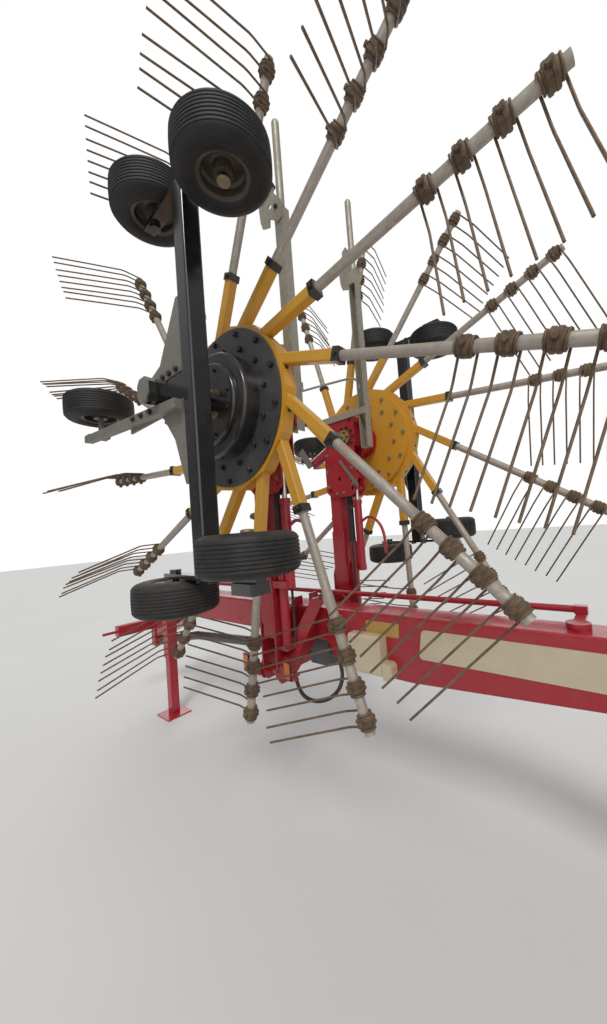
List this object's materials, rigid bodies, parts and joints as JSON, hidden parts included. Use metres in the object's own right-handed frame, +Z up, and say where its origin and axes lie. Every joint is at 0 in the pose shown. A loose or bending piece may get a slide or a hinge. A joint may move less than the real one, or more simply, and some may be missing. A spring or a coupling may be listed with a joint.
{
  "type": "folded twin rotor rake",
  "caption": "Towed centre-swath hay rake with tined rotors folded upright on swinging telescopic arms, a swivelling headstock and steered transport wheels.",
  "frame": {"origin": "on the ground below the middle of the machine's length and width", "axes": "+X forward to the tractor, +Y to the machine's left, +Z up"},
  "size_m": [5.1799, 2.38, 3.98],
  "materials": {
    "red_paint": "dusty gloss paint",
    "yellow_paint": "dusty gloss paint",
    "grey_paint": "dusty paint",
    "black_paint": "satin paint",
    "galvanised": "hot-dip zinc",
    "yellow_zinc": "yellow chromate",
    "tine_steel": "rusty spring steel",
    "chrome_rod": "hard chrome",
    "black_plastic": "matt",
    "cream_panel": "satin",
    "tyre_rubber": "dusty rubber",
    "rim_grey": "dusty paint"
  },
  "bodies": {
    "chassis": {"main_beam": "red_paint", "rear_axle": "red_paint", "power_shaft": "grey_paint", "sign_panels": "cream_panel", "valve_box": "cream_panel", "hose_left": "black_plastic", "hose_right": "black_plastic"},
    "headstock": {"headstock": "red_paint"},
    "steer_rod": {"steer_rod": "red_paint"},
    "steer_post": {"steer_post": "red_paint"},
    "tie_rod": {"tie_rod": "red_paint"},
    "jack": {"jack_leg": "red_paint"},
    "knuckle_left": {"knuckle_left": "red_paint"},
    "transport_wheel_left": {"transport_tyre_left": "tyre_rubber", "transport_rim_left": "rim_grey"},
    "swing_arm_left": {"swing_arm_left": "red_paint", "shaft_tube_left": "red_paint"},
    "arm_tube_left": {"arm_tube_left": "red_paint", "width_rod_left": "chrome_rod", "shaft_rod_left": "black_plastic", "guard_left": "galvanised", "running_axle_left": "black_paint", "gear_plates_left": "galvanised", "setting_wheel_left": "yellow_zinc"},
    "rotor_left": {"rotor_hub_left": "yellow_paint", "rotor_plate_left": "grey_paint", "rotor_dome_left": "black_paint", "tine_arms_left": "galvanised", "tines_left": "tine_steel"},
    "lift_barrel_left": {"lift_barrel_left": "red_paint"},
    "lift_rod_left": {"lift_rod_left": "chrome_rod"},
    "wheel_upper_rear_left": {"wheel_upper_rear_left": "tyre_rubber"},
    "wheel_upper_front_left": {"wheel_upper_front_left": "tyre_rubber"},
    "wheel_lower_rear_left": {"wheel_lower_rear_left": "tyre_rubber"},
    "wheel_lower_front_left": {"wheel_lower_front_left": "tyre_rubber"},
    "wheel_feeler_left": {"wheel_feeler_left": "tyre_rubber"},
    "knuckle_right": {"knuckle_right": "red_paint"},
    "transport_wheel_right": {"transport_tyre_right": "tyre_rubber", "transport_rim_right": "rim_grey"},
    "swing_arm_right": {"swing_arm_right": "red_paint", "shaft_tube_right": "red_paint"},
    "arm_tube_right": {"arm_tube_right": "red_paint", "width_rod_right": "chrome_rod", "shaft_rod_right": "black_plastic", "guard_right": "galvanised", "running_axle_right": "black_paint", "gear_plates_right": "galvanised", "setting_wheel_right": "yellow_zinc"},
    "rotor_right": {"rotor_hub_right": "yellow_paint", "rotor_plate_right": "grey_paint", "rotor_dome_right": "black_paint", "tine_arms_right": "galvanised", "tines_right": "tine_steel"},
    "lift_barrel_right": {"lift_barrel_right": "red_paint"},
    "lift_rod_right": {"lift_rod_right": "chrome_rod"},
    "wheel_upper_rear_right": {"wheel_upper_rear_right": "tyre_rubber"},
    "wheel_upper_front_right": {"wheel_upper_front_right": "tyre_rubber"},
    "wheel_lower_rear_right": {"wheel_lower_rear_right": "tyre_rubber"},
    "wheel_lower_front_right": {"wheel_lower_front_right": "tyre_rubber"},
    "wheel_feeler_right": {"wheel_feeler_right": "tyre_rubber"}
  },
  "joints": [
    {"name": "headstock_turn", "type": "hinge", "parent": "chassis", "child": "headstock", "pos_m": [2.35, 0, 0.76], "axis": [0, 0, 1], "range_deg": [-45, 45]},
    {"name": "steer_rod_slide", "type": "slide", "parent": "chassis", "child": "steer_rod", "axis": [1, 0, 0], "range_m": [-0.125, 0.125]},
    {"name": "steer_post_turn", "type": "hinge", "parent": "chassis", "child": "steer_post", "pos_m": [-1.35, 0, 1.12], "axis": [0, 0, 1], "range_deg": [-46, 46]},
    {"name": "tie_rod_slide", "type": "slide", "parent": "chassis", "child": "tie_rod", "axis": [0, 1, 0], "range_m": [-0.06, 0.06]},
    {"name": "jack_slide", "type": "slide", "parent": "chassis", "child": "jack", "axis": [0, 0, 1], "range_m": [0, 0.35]},
    {"name": "knuckle_turn_left", "type": "hinge", "parent": "chassis", "child": "knuckle_left", "pos_m": [-2.2, 0.83, 0.39], "axis": [0, 0, 1], "range_deg": [-19, 19]},
    {"name": "transport_spin_left", "type": "hinge", "parent": "knuckle_left", "child": "transport_wheel_left", "pos_m": [-2.2, 1.05, 0.39], "axis": [0, 1, 0], "continuous": true},
    {"name": "arm_swing_left", "type": "hinge", "parent": "chassis", "child": "swing_arm_left", "pos_m": [0.125, 0.36, 0.8], "axis": [-1, 0, 0], "range_deg": [0, 90]},
    {"name": "width_slide_left", "type": "slide", "parent": "swing_arm_left", "child": "arm_tube_left", "axis": [0, 0, 1], "range_m": [0, 0.35]},
    {"name": "rotor_spin_left", "type": "hinge", "parent": "arm_tube_left", "child": "rotor_left", "pos_m": [0, 0.63, 2.26], "axis": [0, 1, 0], "continuous": true},
    {"name": "spin_upper_rear_left", "type": "hinge", "parent": "arm_tube_left", "child": "wheel_upper_rear_left", "pos_m": [-0.475, 0.966, 3.0275], "axis": [0, 0, 1], "continuous": true},
    {"name": "spin_upper_front_left", "type": "hinge", "parent": "arm_tube_left", "child": "wheel_upper_front_left", "pos_m": [0.075, 0.966, 3.2125], "axis": [0, 0, 1], "continuous": true},
    {"name": "spin_lower_rear_left", "type": "hinge", "parent": "arm_tube_left", "child": "wheel_lower_rear_left", "pos_m": [-0.475, 0.966, 1.5405], "axis": [0, 0, 1], "continuous": true},
    {"name": "spin_lower_front_left", "type": "hinge", "parent": "arm_tube_left", "child": "wheel_lower_front_left", "pos_m": [0.075, 0.966, 1.3555], "axis": [0, 0, 1], "continuous": true},
    {"name": "spin_feeler_left", "type": "hinge", "parent": "arm_tube_left", "child": "wheel_feeler_left", "pos_m": [0.905, 0.966, 2.45], "axis": [0, 0, 1], "continuous": true},
    {"name": "lift_tilt_left", "type": "hinge", "parent": "chassis", "child": "lift_barrel_left", "pos_m": [0.265, 0.11, 0.745], "axis": [-1, 0, 0], "range_deg": [0, 53]},
    {"name": "lift_extend_left", "type": "slide", "parent": "lift_barrel_left", "child": "lift_rod_left", "axis": [0, 0.3909, 0.9204], "range_m": [0, 0.1882]},
    {"name": "knuckle_turn_right", "type": "hinge", "parent": "chassis", "child": "knuckle_right", "pos_m": [-2.2, -0.83, 0.39], "axis": [0, 0, 1], "range_deg": [-19, 19]},
    {"name": "transport_spin_right", "type": "hinge", "parent": "knuckle_right", "child": "transport_wheel_right", "pos_m": [-2.2, -1.05, 0.39], "axis": [0, 1, 0], "continuous": true},
    {"name": "arm_swing_right", "type": "hinge", "parent": "chassis", "child": "swing_arm_right", "pos_m": [0.125, -0.36, 0.8], "axis": [1, 0, 0], "range_deg": [0, 90]},
    {"name": "width_slide_right", "type": "slide", "parent": "swing_arm_right", "child": "arm_tube_right", "axis": [0, 0, 1], "range_m": [0, 0.35]},
    {"name": "rotor_spin_right", "type": "hinge", "parent": "arm_tube_right", "child": "rotor_right", "pos_m": [0, -0.63, 2.26], "axis": [0, -1, 0], "continuous": true},
    {"name": "spin_upper_rear_right", "type": "hinge", "parent": "arm_tube_right", "child": "wheel_upper_rear_right", "pos_m": [-0.475, -0.966, 3.0275], "axis": [0, 0, 1], "continuous": true},
    {"name": "spin_upper_front_right", "type": "hinge", "parent": "arm_tube_right", "child": "wheel_upper_front_right", "pos_m": [0.075, -0.966, 3.2125], "axis": [0, 0, 1], "continuous": true},
    {"name": "spin_lower_rear_right", "type": "hinge", "parent": "arm_tube_right", "child": "wheel_lower_rear_right", "pos_m": [-0.475, -0.966, 1.5405], "axis": [0, 0, 1], "continuous": true},
    {"name": "spin_lower_front_right", "type": "hinge", "parent": "arm_tube_right", "child": "wheel_lower_front_right", "pos_m": [0.075, -0.966, 1.3555], "axis": [0, 0, 1], "continuous": true},
    {"name": "spin_feeler_right", "type": "hinge", "parent": "arm_tube_right", "child": "wheel_feeler_right", "pos_m": [0.905, -0.966, 2.45], "axis": [0, 0, 1], "continuous": true},
    {"name": "lift_tilt_right", "type": "hinge", "parent": "chassis", "child": "lift_barrel_right", "pos_m": [0.265, -0.11, 0.745], "axis": [1, 0, 0], "range_deg": [0, 53]},
    {"name": "lift_extend_right", "type": "slide", "parent": "lift_barrel_right", "child": "lift_rod_right", "axis": [0, -0.3909, 0.9204], "range_m": [0, 0.1882]}
  ],
  "couplings": [
    {"joint": "steer_rod_slide", "follows": "headstock_turn", "m_per_rad": 0.15},
    {"joint": "steer_post_turn", "follows": "headstock_turn", "ratio": 1},
    {"joint": "tie_rod_slide", "follows": "headstock_turn", "m_per_rad": 0.066},
    {"joint": "knuckle_turn_left", "follows": "headstock_turn", "ratio": -0.4},
    {"joint": "lift_tilt_left", "follows": "arm_swing_left", "ratio": 0.57773},
    {"joint": "lift_extend_left", "follows": "arm_swing_left", "m_per_rad": 0.11663},
    {"joint": "knuckle_turn_right", "follows": "headstock_turn", "ratio": -0.4},
    {"joint": "lift_tilt_right", "follows": "arm_swing_right", "ratio": 0.57773},
    {"joint": "lift_extend_right", "follows": "arm_swing_right", "m_per_rad": 0.11663}
  ]
}
